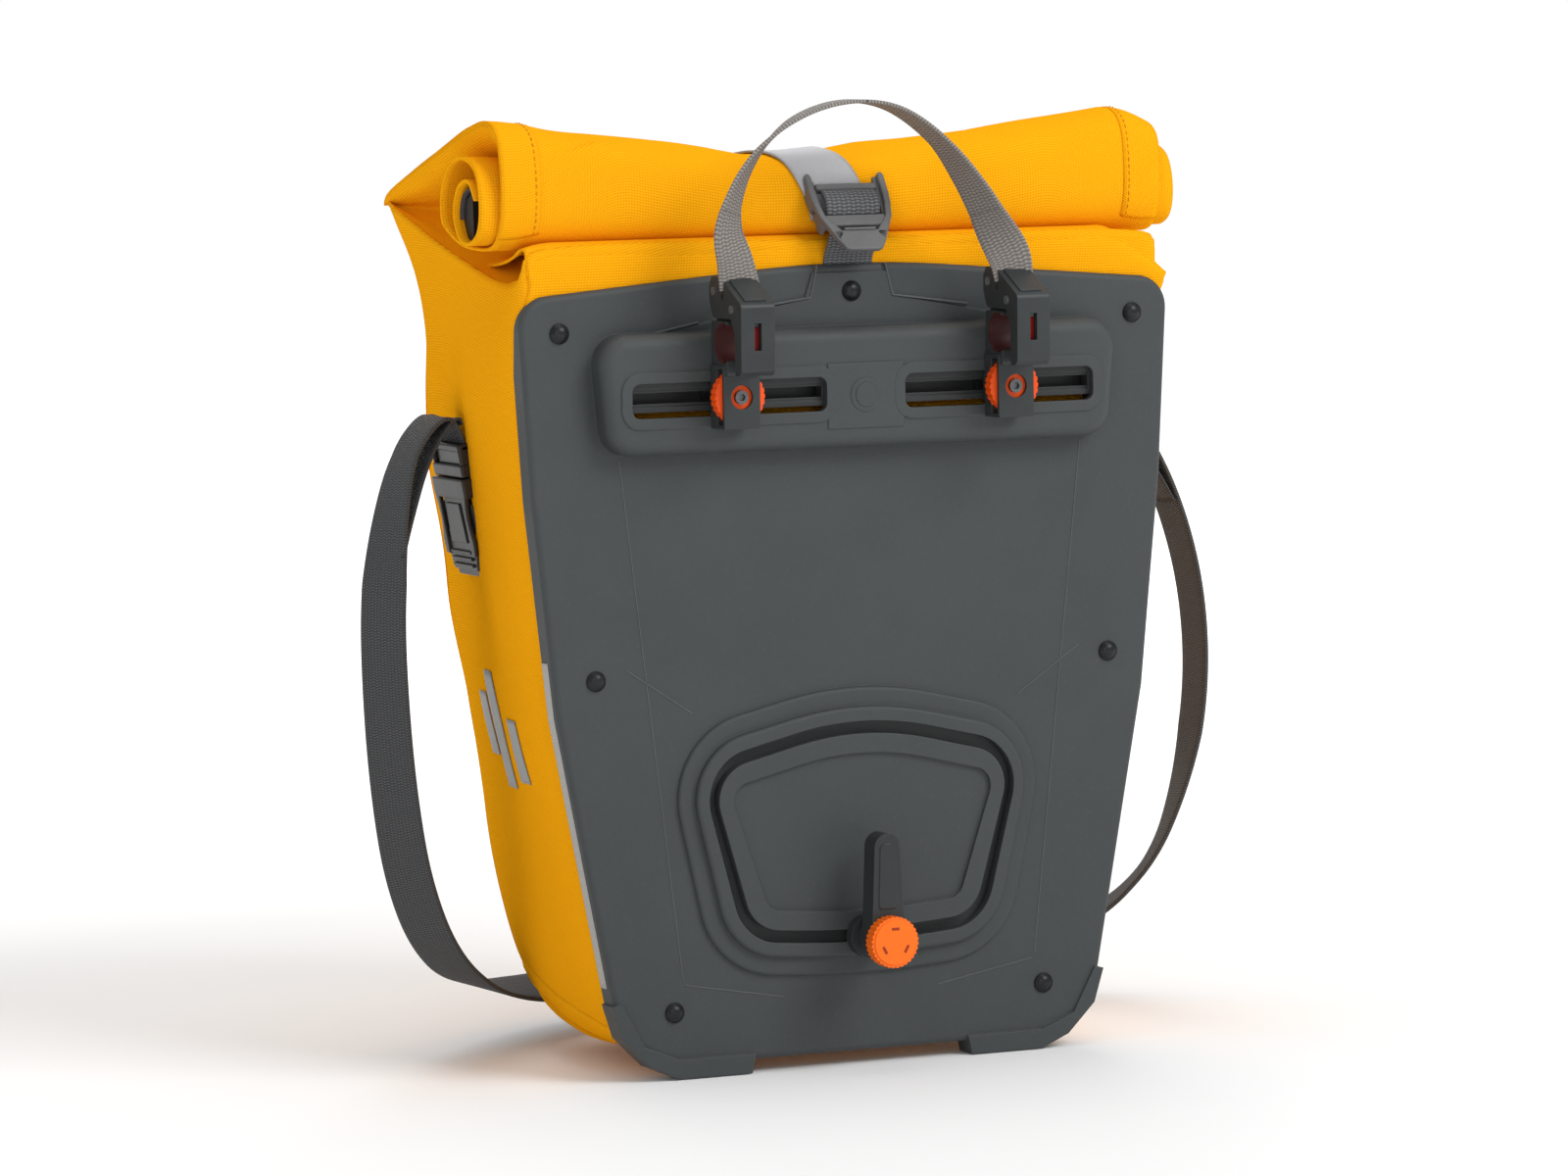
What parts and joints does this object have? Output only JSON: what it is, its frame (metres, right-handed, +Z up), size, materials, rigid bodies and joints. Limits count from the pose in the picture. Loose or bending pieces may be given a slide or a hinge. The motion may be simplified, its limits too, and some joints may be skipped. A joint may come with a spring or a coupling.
{
  "type": "bicycle pannier bag",
  "caption": "Roll-top bicycle pannier of coated fabric with a moulded back plate, sliding rack hooks with locking levers, a swivelling lower latch and a shoulder strap.",
  "frame": {"origin": "on the floor under the middle of the bag's box, measured without the shoulder strap", "axes": "+X along the back plate to the viewer's right when facing the plate, +Y from the plate into the bag, +Z up"},
  "size_m": [0.4377, 0.2631, 0.452],
  "materials": {
    "plate_plastic": "fine moulded grain",
    "hook_plastic": "smooth moulded",
    "rail_plastic": "smooth moulded",
    "rivet_plastic": "satin",
    "coated_fabric": "coated coarse weave",
    "stiffener_plastic": "plain",
    "reflective_webbing": "fine reflective weave",
    "strap_webbing": "ribbed webbing",
    "handle_webbing": "coarse webbing",
    "buckle_plastic": "satin",
    "side_buckle_plastic": "satin",
    "wheel_plastic": "satin",
    "insert_plastic": "satin",
    "pin_steel": "bright",
    "screw_steel": "bright"
  },
  "bodies": {
    "root": {"back_plate": "plate_plastic", "hook_rail": "rail_plastic", "plate_rivets": "rivet_plastic", "rivet_washers": "rivet_plastic", "bag_shell": "coated_fabric", "roll_top": "coated_fabric", "roll_stiffener": "stiffener_plastic", "closure_strap": "reflective_webbing", "closure_webbing": "strap_webbing", "closure_buckle": "buckle_plastic", "carry_handle": "handle_webbing", "buckle_socket_left": "side_buckle_plastic", "buckle_plug_left": "side_buckle_plastic", "buckle_anchor_left": "strap_webbing", "buckle_socket_right": "side_buckle_plastic", "buckle_plug_right": "side_buckle_plastic", "buckle_anchor_right": "strap_webbing", "shoulder_strap": "strap_webbing"},
    "hook_left": {"hook_body_left": "hook_plastic", "jaw_liner_left": "insert_plastic", "clamp_screw_left": "screw_steel", "nut_plate_left": "screw_steel", "lever_pin_left": "pin_steel"},
    "wheel_left": {"clamp_wheel_left": "wheel_plastic"},
    "lever_left": {"hook_lever_left": "hook_plastic", "pawl_pin_left": "pin_steel", "handle_pin_left": "rivet_plastic", "lever_insert_left": "insert_plastic", "handle_end_left": "handle_webbing"},
    "hook_right": {"hook_body_right": "hook_plastic", "jaw_liner_right": "insert_plastic", "clamp_screw_right": "screw_steel", "nut_plate_right": "screw_steel", "lever_pin_right": "pin_steel"},
    "wheel_right": {"clamp_wheel_right": "wheel_plastic"},
    "lever_right": {"hook_lever_right": "hook_plastic", "pawl_pin_right": "pin_steel", "handle_pin_right": "rivet_plastic", "lever_insert_right": "insert_plastic", "handle_end_right": "handle_webbing"},
    "carriage": {"latch_carriage": "hook_plastic", "latch_bolt": "screw_steel"},
    "arm": {"latch_arm": "plate_plastic"},
    "knob": {"latch_knob": "wheel_plastic"},
    "buckle_tab": {"closure_tab": "buckle_plastic"},
    "prong_left_front": {"buckle_prong_left_front": "side_buckle_plastic"},
    "prong_left_rear": {"buckle_prong_left_rear": "side_buckle_plastic"},
    "prong_right_front": {"buckle_prong_right_front": "side_buckle_plastic"},
    "prong_right_rear": {"buckle_prong_right_rear": "side_buckle_plastic"}
  },
  "joints": [
    {"name": "hook_slide_left", "type": "slide", "parent": "root", "child": "hook_left", "axis": [1, 0, 0], "range_m": [-0.039, 0.039]},
    {"name": "lever_lift_left", "type": "hinge", "parent": "hook_left", "child": "lever_left", "pos_m": [-0.07, -0.092, 0.365], "axis": [-1, 0, 0], "range_deg": [0, 35], "stiffness_Nm_per_rad": 0.12, "springref_deg": -20.05},
    {"name": "wheel_turn_left", "type": "hinge", "parent": "hook_left", "child": "wheel_left", "pos_m": [-0.07, -0.099, 0.3165], "axis": [0, -1, 0], "continuous": true},
    {"name": "hook_slide_right", "type": "slide", "parent": "root", "child": "hook_right", "axis": [1, 0, 0], "range_m": [-0.039, 0.039]},
    {"name": "lever_lift_right", "type": "hinge", "parent": "hook_right", "child": "lever_right", "pos_m": [0.07, -0.092, 0.365], "axis": [-1, 0, 0], "range_deg": [0, 35], "stiffness_Nm_per_rad": 0.12, "springref_deg": -20.05},
    {"name": "wheel_turn_right", "type": "hinge", "parent": "hook_right", "child": "wheel_right", "pos_m": [0.07, -0.099, 0.3165], "axis": [0, -1, 0], "continuous": true},
    {"name": "latch_travel", "type": "hinge", "parent": "root", "child": "carriage", "pos_m": [0, -0.083, 0.5084], "axis": [0, -1, 0], "range_deg": [-3.8, 3.8]},
    {"name": "latch_swivel", "type": "hinge", "parent": "carriage", "child": "arm", "pos_m": [0, -0.098, 0.0614], "axis": [0, -1, 0], "range_deg": [-90, 90]},
    {"name": "knob_turn", "type": "hinge", "parent": "arm", "child": "knob", "pos_m": [0, -0.108, 0.0614], "axis": [0, -1, 0], "continuous": true},
    {"name": "buckle_tab_lift", "type": "hinge", "parent": "root", "child": "buckle_tab", "pos_m": [0, -0.073, 0.4], "axis": [-1, 0, 0], "range_deg": [0, 60]},
    {"name": "prong_squeeze_left_front", "type": "slide", "parent": "root", "child": "prong_left_front", "axis": [0, 1, 0], "range_m": [0, 0.003], "stiffness_N_per_m": 200},
    {"name": "prong_squeeze_left_rear", "type": "slide", "parent": "root", "child": "prong_left_rear", "axis": [0, -1, 0], "range_m": [0, 0.003], "stiffness_N_per_m": 200},
    {"name": "prong_squeeze_right_front", "type": "slide", "parent": "root", "child": "prong_right_front", "axis": [0, 1, 0], "range_m": [0, 0.003], "stiffness_N_per_m": 200},
    {"name": "prong_squeeze_right_rear", "type": "slide", "parent": "root", "child": "prong_right_rear", "axis": [0, -1, 0], "range_m": [0, 0.003], "stiffness_N_per_m": 200}
  ],
  "couplings": [
    {"joint": "prong_squeeze_left_rear", "follows": "prong_squeeze_left_front", "ratio": 1},
    {"joint": "prong_squeeze_right_rear", "follows": "prong_squeeze_right_front", "ratio": 1}
  ]
}
